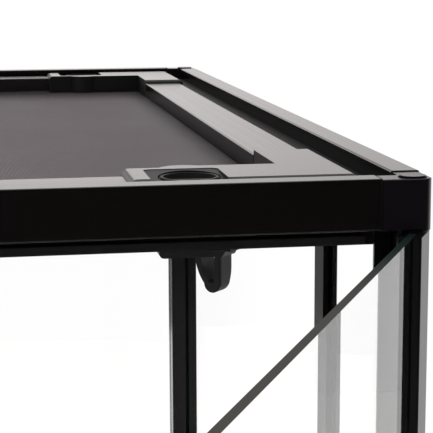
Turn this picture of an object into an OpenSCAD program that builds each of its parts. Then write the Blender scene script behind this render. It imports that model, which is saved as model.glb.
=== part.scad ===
// Front-opening reptile terrarium: extruded frame, clip-in glass, two swing doors and a lift-off screen cover.
// Frame: origin on the floor, under the middle of the front right foot, +X right, +Y back, +Z up.
// The shapes are drawn about the middle of the footprint, and placed() brings them to that foot. Most are drawn
// at the front right corner, as (a, b, h): a is how far in from the right-hand face, b how far in from the front
// face, and h the height. The other corners are mirror images.

/* [Enclosure] */
// Width over the frame
tank_w = 914; // [600:1:1200]
// Depth over the frame
tank_d = 610; // [450:1:760]
// Height from the floor to the top of the frame
tank_h = 610; // [450:1:900]
// Height of the rubber feet
foot_h = 5; // [3:0.5:12]

/* [Frame] */
// Width and height of the rails and posts
rail = 20; // [18:0.5:26]
// Wall of the hollow extrusions
wall = 1.6; // [1.2:0.1:2]
// Width of the top face of the upper rails
top_w = 11.5; // [10:0.1:14]
// Depth of the ledge below the top face
ledge_drop = 7.7; // [6:0.1:9]
// Distance from the outer face to the edge of the ledge
ledge_in = 29.5; // [27:0.1:31]
// Thickness of the ledge
ledge_t = 2; // [1.5:0.1:2.5]
// Side of the three-way corner pieces
corner = 20.5; // [20:0.1:28]
// Radius of the upright outer edges
corner_round = 6; // [4:0.5:12]
// Small radius along the edges of the extrusions
edge_round = 0.8; // [0.3:0.1:1.2]
// Open seam between a rail or post and a corner piece
seam = 0.2; // [0:0.05:0.4]
// Step from the top of the rails down to the corner pieces
corner_sink = 0.4; // [0:0.1:0.6]
// Small radius along the outer edges of the corner pieces
corner_edge = 1; // [0.4:0.1:1.3]
// Width of the front posts, without their stop lips
post_w = 18.4; // [17.6:0.1:20]
// Length of the spigots that the corner pieces push into the rails
spigot = 24; // [12:1:40]
// Clearance of a spigot in its rail
spigot_gap = 0.15; // [0.05:0.05:0.3]
// Radius of the round plugs in the corner pieces
plug_r = 5.5; // [5:0.1:5.8]
// Distance from both outer faces to the plugs, corner screws and door pivots
axis_in = 7; // [6.8:0.1:7.5]

/* [Glass] */
// Thickness of the glass
glass = 3; // [2.5:0.1:3.5]
// Distance from the outer face to the glass
glass_in = 6.4; // [6:0.1:8.5]
// Clearance on each side of the glass in its grooves
glass_gap = 0.15; // [0.05:0.05:0.25]
// Depth of the glass grooves in the rails
groove = 6.4; // [5:0.1:7]
// Depth of the glass grooves in the posts
post_groove = 5; // [4:0.1:5.4]
// Distance from the front to the middle of the side mullions
mullion_at = 139; // [80:1:250]
// Width of the side mullions
mullion_w = 18; // [12:0.5:30]
// Thickness of the side mullions
mullion_t = 7.2; // [4.8:0.1:8]
// Thickness of the floor glass
floor_t = 4; // [3:0.5:8]

/* [Front] */
// Height of the lower front glass that shows between the rails
front_glass_h = 90; // [50:1:160]
// Height of the ventilation rail
vent_h = 30; // [24:1:50]
// Length of a ventilation slot
slot_l = 30; // [15:1:40]
// Width of a ventilation slot
slot_w = 3; // [2:0.1:4]
// Number of ventilation slots in a row
slot_n = 20; // [6:1:22]
// Height of the door stop lips
stop_h = 6.9; // [4:0.1:9]
// Thickness of the door stop lips
stop_t = 1.6; // [1.2:0.1:2]
// Distance from the front face to the door stop lips
stop_in = 10; // [9.6:0.1:11]

/* [Doors] */
// Angle at which the right-hand door stands open
door_open = 63; // [0:1:110]
// Length of the hinge stiles, from the pivot to the glass side
stile_l = 17.5; // [14:0.5:20]
// Radius of the round hinge end of the stiles, from the pivot to their outer face
stile_r = 6.9; // [6:0.1:6.9]
// Distance from the pivot to the inner face of the stiles
stile_back = 2.5; // [2:0.1:2.6]
// Distance from the pivot out to the middle of the door glass
glass_off = 2.1; // [1.5:0.1:2.6]
// How far the glass goes into its stile
stile_grip = 9; // [6:0.5:9.5]
// Gap above and below the doors
door_gap = 0.5; // [0.4:0.1:2]
// Gap between the two doors
meeting_gap = 1; // [0.6:0.1:3]
// Radius of the pivot pins
pin_r = 2.5; // [2:0.1:3]
// Running clearance of the pivot pins
pin_gap = 0.08; // [0.04:0.01:0.1]
// Length of a pivot pin inside the stile
pin_l = 12; // [8:0.5:20]
// Width of the magnetic strips on the free edges
strip_w = 9; // [7:0.5:14]
// Height of a door handle
handle_h = 70; // [40:1:120]
// Width of a door handle
handle_w = 22; // [16:1:30]

/* [Screen cover] */
// Distance from the outer faces to the outer edge of the cover bars
bar_out = 26; // [25:0.1:27]
// Distance from the outer faces to the inner edge of the cover bars
bar_in = 49.5; // [48:0.1:52]
// Depth of the top of the bars below the frame
bar_drop = 3.4; // [3:0.1:4.5]
// Depth of the underside of the bars below the frame
bar_foot = 13; // [12:0.1:14]
// Distance from the outer faces to the corner pieces of the cover
arm_out = 23; // [22:0.1:25]
// Distance from the front face to the inner edge of the long arm
arm_in = 60.5; // [56:0.1:66]
// Distance from the front face to the inner edge of the long arm, past the lock
arm_end_in = 57; // [54:0.1:60]
// Depth of the top of the corner pieces below the frame
arm_drop = 1.4; // [1:0.1:2]
// End of the long arm, measured from the side face
arm_x = 114; // [112:1:140]
// End of the short arm, measured from the front face
arm_y = 108; // [90:1:140]
// Thickness of the screen
mesh_t = 0.6; // [0.4:0.1:0.8]
// Radius of the upper edges of the corner pieces of the cover
arm_round = 3; // [0.8:0.1:4]
// Radius of the rubber cord that holds the screen
spline_r = 1.7; // [1.4:0.1:1.8]

/* [Cover locks] */
// Distance from the side face to a lock
lock_x = 88.8; // [86:0.1:96]
// Distance from the front face to a lock
lock_y = 37.5; // [36.5:0.1:39]
// Radius of the turning knobs
knob_r = 12; // [10:0.1:12.5]
// Depth of the top of the knobs below the frame
knob_drop = 2.4; // [1.6:0.1:2.8]
// Radius of the spindles
spindle_r = 5; // [4:0.1:5.4]
// Length of the lock block
block_l = 26; // [18:0.5:28]
// Width of the lock block
block_w = 12; // [11:0.5:13]
// Depth of the underside of the lock block below the frame
block_foot = 34; // [30:0.5:40]
// Distance from the side face to the root of a hook
hook_x = 77; // [74:0.5:80]
// Distance from the front face to the root of a hook
hook_y = 36; // [35:0.5:38]
// Angle of the hook to the front
hook_turn = 41.3; // [30:0.1:50]
// Width of the hook
hook_w = 10; // [6:0.5:11]
// Thickness of the hook
hook_t = 2.6; // [2:0.1:3.5]
// Depth of the bottom of the hook below the frame
hook_foot = 50; // [46:0.5:58]

/* [Hidden] */
$fn = 48;
eps = 0.01;

// Colours
plastic_black = [0.06, 0.06, 0.07];
frame_black = [0.05, 0.045, 0.045];
glass_tint = [0.75, 0.85, 0.82, 0.35];
screen_grey = [0.33, 0.32, 0.31];
rubber_black = [0.09, 0.09, 0.09];
steel = [0.72, 0.72, 0.74];

// Heights
frame_z = foot_h;                        // underside of the frame
vent_z = frame_z + rail + front_glass_h; // underside of the ventilation rail
vent_top = vent_z + vent_h;
foot_in = corner / 2;                    // from the outer faces to the middle of a foot
post_z = frame_z + corner;               // lower end of the posts
post_top = tank_h - corner;              // upper end of the posts
rail_x = tank_w - 2 * (corner + seam);   // length of the front and rear rails
rail_y = tank_d - 2 * (corner + seam);   // length of the side rails
fixed_gap = 0.05;                        // round a pin or screw that doesn't turn
sill_z = frame_z + rail - groove;        // where the glass stands in the lower rails
head_z = tank_h - rail + groove - 2 * glass_gap; // upper edge of the side and rear glass
// Depths
post_front = 2 * axis_in + 0.2;          // front face of the front posts, behind the hinge stiles
slot_lo = glass_in - glass_gap;          // the glass grooves, from the outer face
slot_hi = glass_in + glass + glass_gap;
glass_end = rail - post_groove + 2 * glass_gap; // edge of the glass in the posts, from the outer face
door_face = axis_in - glass_off - glass / 2; // front of the door glass
pivot_x = tank_w / 2 - axis_in;
pivot_y = -tank_d / 2 + axis_in;
// Floor ledge of the lower rails
pan_ledge_z = 10;
pan_ledge_t = 2;
pan_ledge_in = 30;

// ---------------------------------------------------------------- placing

// Brings the middle of the front right foot to the origin.
module placed() {
    translate([foot_in - tank_w / 2, tank_d / 2 - foot_in, 0]) children();
}

// Puts a shape drawn at the front right corner, with x = -a and y = b, at corner (sx, sy).
module at_corner(sx, sy) {
    mirror([sx < 0 ? 1 : 0, 0, 0]) mirror([0, sy > 0 ? 1 : 0, 0])
        translate([tank_w / 2, -tank_d / 2, 0]) children();
}

// A profile drawn as (in from the face, height), along the front (sy = -1) or the rear.
module along_x(length, sy) {
    mirror([0, sy > 0 ? 1 : 0, 0]) translate([-length / 2, -tank_d / 2, 0])
        rotate([90, 0, 90]) linear_extrude(length) children();
}

// The same along the right (sx = 1) or the left.
module along_y(length, sx) {
    mirror([sx < 0 ? 1 : 0, 0, 0]) translate([tank_w / 2, length / 2, 0])
        rotate([90, 0, 0]) linear_extrude(length) mirror([1, 0]) children();
}

// A box from its low and high corners.
module span(low, high) {
    translate(low) cube(high - low);
}

module area(low, high) {
    translate(low) square(high - low);
}

// A rectangle with round corners.
module soft_area(low, high, r) {
    area([low.x + r, low.y], [high.x - r, high.y]);
    area([low.x, low.y + r], [high.x, high.y - r]);
    for (x = [low.x + r, high.x - r], y = [low.y + r, high.y - r])
        translate([x, y]) circle(r);
}

// ---------------------------------------------------------------- frame extrusions

// The hollow that takes the spigots of the top corners, under the top face.
module top_hollow(gap = 0) {
    area([wall + gap, -ledge_drop - ledge_t - wall - 0.7 + gap], [top_w - wall - gap, -wall - gap]);
}

// The ledge that the screen cover rests on.
module ledge() {
    area([top_w - 1, -ledge_drop - ledge_t], [ledge_in, -ledge_drop]);
}

module top_profile() {
    difference() {
        union() {
            soft_area([0, -rail], [top_w, 0], edge_round);
            soft_area([0, -rail], [rail, -ledge_drop], edge_round);
            ledge();
        }
        top_hollow();
        area([slot_lo, -rail - eps], [slot_hi, -rail + groove]);
        area([wall, -rail + wall], [slot_lo - wall, -rail + groove]);
        area([slot_hi + wall, -rail + wall], [rail - wall, -ledge_drop - ledge_t - wall]);
    }
}

// The front rail has no glass groove, and a lip below it that the doors close on.
module front_top_profile() {
    difference() {
        union() {
            soft_area([0, -rail], [top_w, 0], edge_round);
            soft_area([0, -rail], [rail, -ledge_drop], edge_round);
            ledge();
            area([stop_in, -rail - stop_h], [stop_in + stop_t, -rail + 1]);
        }
        top_hollow();
        area([wall, -rail + wall], [top_w, -rail + groove]);
        area([top_w + wall, -rail + wall], [rail - wall, -ledge_drop - ledge_t - wall]);
    }
}

// The hollow that takes the spigots of the bottom corners.
module bottom_hollow(gap = 0) {
    area([wall + gap, wall + gap], [rail - wall - gap, rail - groove - wall - gap]);
}

module bottom_profile() {
    difference() {
        union() {
            soft_area([0, 0], [rail, rail], edge_round);
            area([rail - 1, pan_ledge_z], [pan_ledge_in, pan_ledge_z + pan_ledge_t]);
        }
        bottom_hollow();
        area([slot_lo, rail - groove], [slot_hi, rail + eps]);
    }
}

// Ledges meet in a mitre: the ends of the front and rear ledges stop short of the side ledges.
module mitred_x(reach) {
    difference() {
        children();
        for (sx = [-1, 1], sy = [-1, 1])
            at_corner(sx, sy) span([-reach - spigot_gap, rail + eps, 0], [0, reach + 1, tank_h]);
    }
}

module top_rail_front() {
    color(frame_black) mitred_x(ledge_in) difference() {
        translate([0, 0, tank_h]) along_x(rail_x, -1) front_top_profile();
        for (sx = [-1, 1])
            at_corner(sx, -1) span([-corner - 0.6, 0, tank_h - rail - stop_h - 1], [0, rail, tank_h - rail]);
    }
}

module top_rail_rear() {
    color(frame_black) mitred_x(ledge_in)
        translate([0, 0, tank_h]) along_x(rail_x, 1) top_profile();
}

module top_rail_side(sx) {
    color(frame_black) translate([0, 0, tank_h]) along_y(rail_y, sx) top_profile();
}

module bottom_rail_x(sy) {
    color(frame_black) mitred_x(pan_ledge_in)
        translate([0, 0, frame_z]) along_x(rail_x, sy) bottom_profile();
}

module bottom_rail_side(sx) {
    color(frame_black) translate([0, 0, frame_z]) along_y(rail_y, sx) bottom_profile();
}

// ---------------------------------------------------------------- posts

// Square section with the large outer radius, seen from above at the front right corner.
module post_outline(size) {
    intersection() {
        union() {
            translate([-corner_round, corner_round]) circle(corner_round, $fn = 64);
            area([-size, corner_round], [0, size]);
            area([-size, 0], [-corner_round, size]);
        }
        area([-size, 0], [0, size]);
    }
}

post_skin = 1.5; // wall in front of that hollow

// The small hollow at the inner edge that takes the spigots of the corner pieces.
module post_hollow(gap = 0) {
    area([-post_w + wall + gap, post_front + post_skin + gap], [-slot_hi - wall - gap, rail - wall - gap]);
}

// Groove for the side glass, and with it one for the glass of the front or rear.
module post_section(two_grooves) {
    difference() {
        post_outline(rail);
        post_hollow();
        area([-slot_hi, rail - post_groove], [-slot_lo, rail + eps]);
        if (two_grooves) area([-rail - eps, slot_lo], [-rail + post_groove, slot_hi]);
        translate([-axis_in, axis_in]) circle(pin_r + fixed_gap);
    }
}

// The L-shaped lip of a front post, just behind the closed stile.
module post_lip() {
    lip_in = 2 * axis_in + 3 * seam; // clear of the round end of the stile
    area([-lip_in - stop_t, stop_in], [-lip_in, post_front + wall / 2]);
    area([-corner - 2 * seam, stop_in], [-lip_in, stop_in + stop_t]);
}

// The front posts are cut back above the ventilation rail, to leave room for the hinge stiles.
module post_front(sx) {
    color(frame_black) at_corner(sx, -1) {
        difference() {
            translate([0, 0, post_z + seam]) linear_extrude(post_top - post_z - 2 * seam) intersection() {
                post_section(true);
                area([-post_w, 0], [0, rail]);
            }
            span([-rail - 1, -1, vent_z], [1, post_front, tank_h]);
        }
        translate([0, 0, vent_top + seam]) linear_extrude(post_top - vent_top - 2 * seam) post_lip();
    }
}

module post_rear(sx) {
    color(frame_black) at_corner(sx, 1)
        translate([0, 0, post_z + seam]) linear_extrude(post_top - post_z - 2 * seam) post_section(true);
}

// ---------------------------------------------------------------- corner pieces

screw_head_r = 4.2;
screw_head_h = 3;
plug_t = 1.2;
plug_proud = 0.3;
head_z_top = tank_h - plug_t;

// Spigots of a corner piece, into both rails and the post, drawn for the upper corner.
module top_spigots() {
    translate([-corner - spigot, 0, tank_h]) rotate([90, 0, 90])
        linear_extrude(spigot + eps) top_hollow(spigot_gap);
    translate([0, corner + spigot, tank_h]) rotate([90, 0, 0])
        linear_extrude(spigot + eps) mirror([1, 0]) top_hollow(spigot_gap);
    translate([0, 0, post_top - spigot]) linear_extrude(spigot + eps) post_hollow(spigot_gap);
}

// Body of a corner piece between two heights, its outer edges softened above and below.
module corner_body(low, high) {
    far = corner + 2 * corner_edge;
    intersection() {
        translate([0, 0, low]) linear_extrude(high - low) post_outline(corner);
        translate([-far, 0, 0]) rotate([90, 0, 90]) linear_extrude(far + 1) soft_area([0, low], [far, high], corner_edge);
        translate([0, far, 0]) rotate([90, 0, 0]) linear_extrude(far + 1) mirror([1, 0])
            soft_area([0, low], [far, high], corner_edge);
    }
}

// Three-way corner: its top follows the rails, and a counterbore holds the screw head and the plug.
module top_corner(sx, sy) {
    color(plastic_black) at_corner(sx, sy) difference() {
        union() {
            difference() {
                corner_body(post_top, tank_h - corner_sink);
                difference() {
                    span([-corner - 1, top_w, tank_h - ledge_drop], [-top_w, corner + 1, tank_h + 1]);
                    corner_fillet();
                }
            }
            top_spigots();
        }
        glass_notches(post_top - 1, tank_h - rail + groove, sy > 0);
        translate([-axis_in, axis_in, 0]) {
            translate([0, 0, post_top - 1]) cylinder(r = pin_r + fixed_gap, h = corner + 2);
            translate([0, 0, head_z_top - screw_head_h]) cylinder(r = screw_head_r + 0.2, h = corner);
            translate([0, 0, head_z_top]) cylinder(r = plug_r + 0.1, h = corner);
        }
    }
}

// Notches in a corner piece for the corners of the glass: of the side pane, and of the front or rear one.
module glass_notches(low, high, both) {
    inner = rail - post_groove;
    span([-slot_hi, inner, low], [-slot_lo, corner + 1, high]);
    if (both) span([-corner - 1, slot_lo, low], [-inner, slot_hi, high]);
}

// Rounds the inner corner of the L-shaped top.
module corner_fillet() {
    fillet_r = 1.6;
    difference() {
        span([-top_w - fillet_r, top_w - eps, 0], [-top_w + eps, top_w + fillet_r, tank_h]);
        translate([-top_w - fillet_r, top_w + fillet_r, -1]) cylinder(r = fillet_r, h = tank_h + 2);
    }
}

module bottom_corners() {
    color(plastic_black) for (sx = [-1, 1], sy = [-1, 1]) at_corner(sx, sy) difference() {
        union() {
            corner_body(frame_z, frame_z + corner);
            translate([-corner - spigot, 0, frame_z]) rotate([90, 0, 90])
                linear_extrude(spigot + eps) bottom_hollow(spigot_gap);
            translate([0, corner + spigot, frame_z]) rotate([90, 0, 0])
                linear_extrude(spigot + eps) mirror([1, 0]) bottom_hollow(spigot_gap);
            translate([0, 0, post_z - eps]) linear_extrude(spigot) post_hollow(spigot_gap);
        }
        glass_notches(sill_z, post_z + 1, true);
        translate([-axis_in, axis_in, frame_z - 1]) {
            cylinder(r = pin_r + fixed_gap, h = corner + 2);
            cylinder(r = screw_head_r + 0.2, h = screw_head_h + 1);
        }
    }
}

// Plugs over the screws and door pivots in the upper corners.
module corner_plugs() {
    color(plastic_black) for (sx = [-1, 1], sy = [-1, 1]) at_corner(sx, sy)
        translate([-axis_in, axis_in, head_z_top]) {
            cylinder(r = plug_r, h = plug_t + plug_proud - 0.3);
            cylinder(r = plug_r - 0.5, h = plug_t + plug_proud);
        }
}

// A screw with its head at height 0, pointing down.
module screw(length) {
    difference() {
        translate([0, 0, -screw_head_h]) cylinder(r = screw_head_r, h = screw_head_h);
        translate([0, 0, -1.6]) cylinder(r = 1.5, h = 2, $fn = 6);
    }
    translate([0, 0, -length]) cylinder(r = pin_r, h = length - screw_head_h + eps);
}

// Long screws hold the rear posts to the upper corners, and all the posts to the lower ones.
module corner_screws() {
    color(steel) {
        for (sx = [-1, 1]) at_corner(sx, 1)
            translate([-axis_in, axis_in, head_z_top]) screw(corner + 2 * spigot);
        for (sx = [-1, 1], sy = [-1, 1]) at_corner(sx, sy)
            translate([-axis_in, axis_in, frame_z]) mirror([0, 0, 1]) screw(corner + spigot);
    }
}

module feet() {
    foot_r = 8.5;
    color(rubber_black) for (sx = [-1, 1], sy = [-1, 1]) at_corner(sx, sy)
        translate([-foot_in, foot_in, 0]) {
            cylinder(r1 = foot_r - 1, r2 = foot_r, h = 1.2, $fn = 48);
            translate([0, 0, 1.2]) cylinder(r = foot_r, h = foot_h - 1.2);
        }
}

// ---------------------------------------------------------------- glass

module floor_glass() {
    inset = corner + 2 * glass_gap;
    z = frame_z + pan_ledge_z + pan_ledge_t;
    color(glass_tint) span([-tank_w / 2 + inset, -tank_d / 2 + inset, z],
        [tank_w / 2 - inset, tank_d / 2 - inset, z + floor_t]);
}

module rear_glass() {
    color(glass_tint) span([-tank_w / 2 + glass_end, tank_d / 2 - glass_in - glass, sill_z],
        [tank_w / 2 - glass_end, tank_d / 2 - glass_in, head_z]);
}

// A side pane between two distances from the front.
module side_glass(sx, from, to) {
    color(glass_tint) at_corner(sx, -1)
        span([-glass_in - glass, from, sill_z], [-glass_in, to, head_z]);
}

mullion_web = 2;

// H-section upright between the two panes of a side.
module mullion(sx) {
    mid = glass_in + glass / 2;
    color(plastic_black) at_corner(sx, -1)
        translate([-mid, mullion_at, frame_z + rail]) linear_extrude(tank_h - frame_z - 2 * rail)
            difference() {
                soft_area([-mullion_t / 2, -mullion_w / 2], [mullion_t / 2, mullion_w / 2], 0.5);
                for (s = [-1, 1]) mirror([0, s > 0 ? 0 : 1])
                    area([-glass / 2 - glass_gap, mullion_web / 2],
                        [glass / 2 + glass_gap, mullion_w / 2 + eps]);
            }
}

module lower_front_glass() {
    color(glass_tint) span([-tank_w / 2 + glass_end, -tank_d / 2 + glass_in, sill_z],
        [tank_w / 2 - glass_end, -tank_d / 2 + glass_in + glass, vent_z + groove - 2 * glass_gap]);
}

// ---------------------------------------------------------------- front

vent_d = post_front - 0.4;

module vent_profile() {
    difference() {
        union() {
            soft_area([0, vent_z], [vent_d, vent_top], edge_round);
            area([stop_in, vent_top - 1], [stop_in + stop_t, vent_top + stop_h]);
        }
        area([slot_lo, vent_z - eps], [slot_hi, vent_z + groove]);
    }
}

// Rows of slots, seen from the front.
module vent_slots() {
    pitch = (tank_w - 2 * corner - slot_l) / slot_n;
    row_z = vent_z + groove + wall + slot_w;
    rows = 3;
    row_step = (vent_top - wall - slot_w - row_z) / (rows - 1);
    for (n = [0 : slot_n - 1], r = [0 : rows - 1]) {
        x = (n - (slot_n - 1) / 2) * pitch;
        z = row_z + r * row_step;
        area([x - (slot_l - slot_w) / 2, z - slot_w / 2], [x + (slot_l - slot_w) / 2, z + slot_w / 2]);
        for (s = [-1, 1]) translate([x + s * (slot_l - slot_w) / 2, z]) circle(slot_w / 2, $fn = 24);
    }
}

// Slotted rail under the doors: it holds the lower glass and the lower door pivots.
module vent_rail() {
    end_r = vent_d / 2;
    color(frame_black) difference() {
        intersection() {
            difference() {
                along_x(tank_w, -1) vent_profile();
                along_x(tank_w - 2 * corner, -1)
                    area([wall, vent_z + groove + wall], [vent_d - wall, vent_top - wall]);
            }
            translate([0, -tank_d / 2 + end_r, vent_z - 1]) linear_extrude(vent_h + stop_h + 2) {
                square([tank_w - 2 * end_r, vent_d + 1], center = true);
                for (s = [-1, 1]) translate([s * (tank_w / 2 - end_r), 0]) circle(end_r, $fn = 64);
            }
        }
        translate([0, -tank_d / 2 + vent_d + 1, 0]) rotate([90, 0, 0]) linear_extrude(vent_d + 2) vent_slots();
        for (sx = [-1, 1]) at_corner(sx, -1) {
            span([-corner - 0.6, 0, vent_top], [0, rail, vent_top + stop_h + 1]);
            translate([-axis_in, axis_in, vent_z + groove]) cylinder(r = pin_r + fixed_gap, h = vent_h);
        }
    }
}

// Soft strips on both lips, just behind the closed doors, with a break for the strips on the doors.
module door_stop_seals() {
    seal_l = tank_w - 2 * (axis_in + stile_l + 1);
    seal_h = 3.4;
    seal_inset = 0.8;
    seal_front = door_face + glass + 0.25;
    color(rubber_black) difference() {
        for (z = [tank_h - rail - stop_h + seal_inset, vent_top + stop_h - seal_inset - seal_h])
            along_x(seal_l, -1) soft_area([seal_front, z], [stop_in, z + seal_h], 0.5);
        translate([-strip_w - 1.5, -tank_d / 2, 0]) cube([2 * strip_w + 3, rail, tank_h]);
    }
}

// ---------------------------------------------------------------- doors

door_z = vent_top + door_gap;
door_top = post_top - door_gap;
door_w = tank_w / 2 - axis_in - meeting_gap / 2; // from the pivot to the free edge

// Pins through the upper corners, and in the ventilation rail.
module door_pivot_pins() {
    color(steel) for (sx = [-1, 1]) at_corner(sx, -1) translate([-axis_in, axis_in, 0]) {
        translate([0, 0, head_z_top]) screw(head_z_top - door_top + pin_l);
        translate([0, 0, vent_z + groove]) cylinder(r = pin_r, h = door_z + pin_l - vent_z - groove);
    }
}

// Puts a door drawn with its pivot at the origin, reaching towards -X, on its hinge.
module hung(sx, angle) {
    mirror([sx < 0 ? 1 : 0, 0, 0]) translate([pivot_x, pivot_y, 0]) rotate([0, 0, angle]) children();
}

// Extruded stile: round about the pivot, with a slot for the glass, which sits in front of the pivot.
module door_stile(sx, angle) {
    soft = 0.9;
    slot_half = glass / 2 + glass_gap / 2;
    color(plastic_black) hung(sx, angle) difference() {
        translate([0, 0, door_z]) linear_extrude(door_top - door_z) difference() {
            union() {
                circle(stile_r, $fn = 64);
                soft_area([-stile_l, -stile_r], [-stile_l + 4 * soft, stile_back], soft);
                area([-stile_l + 2 * soft, -stile_r], [0, stile_back]);
            }
            area([-stile_l - eps, -glass_off - slot_half], [-stile_l + stile_grip, -glass_off + slot_half]);
        }
        translate([0, 0, door_z - 1]) cylinder(r = pin_r + pin_gap, h = pin_l + 1.5);
        translate([0, 0, door_top - pin_l - 0.5]) cylinder(r = pin_r + pin_gap, h = pin_l + 1);
    }
}

module door_glass(sx, angle) {
    color(glass_tint) hung(sx, angle)
        span([-door_w + 2, -glass_off - glass / 2, door_z], [-stile_l + stile_grip - 0.2, -glass_off + glass / 2, door_top - 0.1]);
}

// Magnetic strip clipped over the free edge, full height.
module door_strip(sx, angle) {
    shell = 1.1;
    color(rubber_black) hung(sx, angle)
        translate([-door_w, -glass_off, door_z]) linear_extrude(door_top - door_z - 0.1) difference() {
            soft_area([0, -glass / 2 - shell], [strip_w, glass / 2 + shell], 0.6);
            area([1.8, -glass / 2 - glass_gap / 2], [strip_w + 1, glass / 2 + glass_gap / 2]);
        }
}

// Moulded handle: a clip over the strip with a curved finger grip.
module door_handle(sx, angle) {
    base = 1.1 + 0.1;
    grip_r = 14;
    lip = 12;
    mid_z = (door_z + door_top) / 2;
    color(plastic_black) hung(sx, angle)
        translate([-door_w + strip_w + 0.3, -glass_off, mid_z - handle_h / 2]) linear_extrude(handle_h) {
            soft_area([0, -glass / 2 - 2.4], [handle_w, -glass / 2 - glass_gap], 0.7);
            difference() {
                soft_area([4, -glass / 2 - 2 - lip], [handle_w, -glass / 2 - base], 1);
                translate([4, -glass / 2 - 2.4 - grip_r + 0.4]) circle(grip_r, $fn = 96);
            }
        }
}

// ---------------------------------------------------------------- screen cover

spline_in = bar_in - 2.5;
bar_shell_lo = ledge_in + 0.8;      // the deep part of a bar starts inside the ledge
groove_w = 2 * spline_r + 0.2;
mesh_out = spline_in - 2.5;         // edge of the screen

module bar_hollow(gap = 0) {
    area([bar_shell_lo + wall + gap, -bar_foot + wall + gap], [mesh_out - 0.9 - gap, -bar_drop - wall - gap]);
}

module bar_profile() {
    difference() {
        union() {
            soft_area([bar_out, -ledge_drop], [bar_in, -bar_drop], edge_round);
            area([bar_out, -ledge_drop], [bar_in, -ledge_drop + 1]);
            soft_area([bar_shell_lo, -bar_foot], [bar_in, -bar_drop], edge_round);
        }
        bar_hollow();
        area([spline_in - groove_w / 2, -bar_foot - eps], [spline_in + groove_w / 2, -bar_foot + 2 * spline_r + 0.2]);
    }
}

module cover_bar_x(sy) {
    color(plastic_black) translate([0, 0, tank_h]) along_x(tank_w - 2 * arm_x, sy) bar_profile();
}

module cover_bar_side(sx) {
    color(plastic_black) translate([0, 0, tank_h]) along_y(tank_d - 2 * arm_y, sx) bar_profile();
}

// The L of a corner piece, its outer side set in by a distance. The long arm is narrower past the lock.
module arm_outline(out) {
    r = 1.5;
    soft_area([-arm_x, out], [-out, arm_end_in], r);
    area([-lock_x, out + r], [-out - r, arm_in]);
    soft_area([-bar_in, out], [-out, arm_y], r);
}

// Rounds the upper edges of a corner piece of the cover, outside and at the ends of its arms.
module soft_edges() {
    low = -2 * ledge_drop;
    intersection() {
        children();
        translate([-tank_w / 2, 0, tank_h]) rotate([90, 0, 90]) linear_extrude(tank_w / 2)
            soft_area([arm_out, low], [arm_y, -arm_drop], arm_round);
        translate([0, tank_d / 2, tank_h]) rotate([90, 0, 0]) linear_extrude(tank_d / 2)
            mirror([1, 0]) soft_area([arm_out, low], [arm_x, -arm_drop], arm_round);
    }
}

pad_l = 30.4;        // sloping pad round the knob
pad_w = 31;
pad_tilt = 4;
pad_shift = 1.6;     // from the knob away from the corner
knob_well = 6.4;     // depth of the well under the knob
knob_gap = 0.5;
bulge_r = 10.5;      // round bulge of the inner edge behind the lock
bulge_in = 8;

// L-shaped corner of the cover, 2 mm proud of its bars, with the well and the bore of a lock.
module cover_corner(sx, sy) {
    color(plastic_black) at_corner(sx, sy) difference() {
        union() {
            soft_edges() translate([0, 0, tank_h - ledge_drop]) linear_extrude(ledge_drop - arm_drop)
                arm_outline(arm_out);
            translate([0, 0, tank_h - bar_foot]) linear_extrude(bar_foot - ledge_drop + 1)
                arm_outline(bar_shell_lo);
            translate([-lock_x, arm_in - bulge_in, tank_h - bar_foot])
                cylinder(r = bulge_r, h = bar_foot - arm_drop, $fn = 64);
            translate([-arm_x - spigot / 2, 0, tank_h]) rotate([90, 0, 90])
                linear_extrude(spigot / 2 + 3) bar_hollow(spigot_gap);
            translate([0, arm_y + spigot / 2, tank_h]) rotate([90, 0, 0])
                linear_extrude(spigot / 2 + 3) mirror([1, 0]) bar_hollow(spigot_gap);
        }
        translate([-lock_x, lock_y, 0]) {
            translate([0, 0, tank_h - knob_well]) cylinder(r = knob_r + knob_gap, h = knob_well, $fn = 64);
            translate([0, 0, tank_h - bar_foot - 1]) cylinder(r = spindle_r + 0.1, h = bar_foot);
            translate([-pad_l / 2 - pad_shift, pad_w / 2, tank_h - arm_drop - 0.2]) rotate([pad_tilt, 0, 0])
                translate([0, -pad_w - arm_round, 0]) linear_extrude(ledge_drop) soft_area([0, 0], [pad_l, pad_w + arm_round], 3);
        }
        spline_channel();
    }
}

// Groove of the screen spline through a corner piece.
module spline_channel() {
    z = tank_h - bar_foot;
    for (t = [0, 1]) {
        lo = spline_in - groove_w / 2;
        hi = spline_in + groove_w / 2;
        if (t == 0) span([-arm_x - 1, lo, z - eps], [-lo, hi, z + 2 * spline_r + 0.2]);
        else span([-hi, lo, z - eps], [-lo, arm_y + 1, z + 2 * spline_r + 0.2]);
    }
}

// Sheet in place of the woven screen.
module cover_screen() {
    x = tank_w / 2 - mesh_out;
    y = tank_d / 2 - mesh_out;
    color(screen_grey) span([-x, -y, tank_h - bar_foot - mesh_t], [x, y, tank_h - bar_foot]);
}

// Rubber cord in the groove, holding the edge of the screen.
module screen_spline() {
    bend = spline_r + 0.3;
    x = tank_w / 2 - spline_in;
    y = tank_d / 2 - spline_in;
    color(rubber_black) translate([0, 0, tank_h - bar_foot + spline_r]) {
        for (s = [-1, 1]) {
            translate([-x + bend, s * y, 0]) rotate([0, 90, 0]) cylinder(r = spline_r, h = 2 * (x - bend), $fn = 24);
            translate([s * x, y - bend, 0]) rotate([90, 0, 0]) cylinder(r = spline_r, h = 2 * (y - bend), $fn = 24);
        }
        for (sx = [-1, 1], sy = [-1, 1]) mirror([sx < 0 ? 1 : 0, 0, 0]) mirror([0, sy < 0 ? 1 : 0, 0])
            translate([x - bend, y - bend, 0]) rotate_extrude(angle = 90, $fn = 24)
                translate([bend, 0]) circle(spline_r, $fn = 24);
    }
}

// ---------------------------------------------------------------- cover locks

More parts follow.
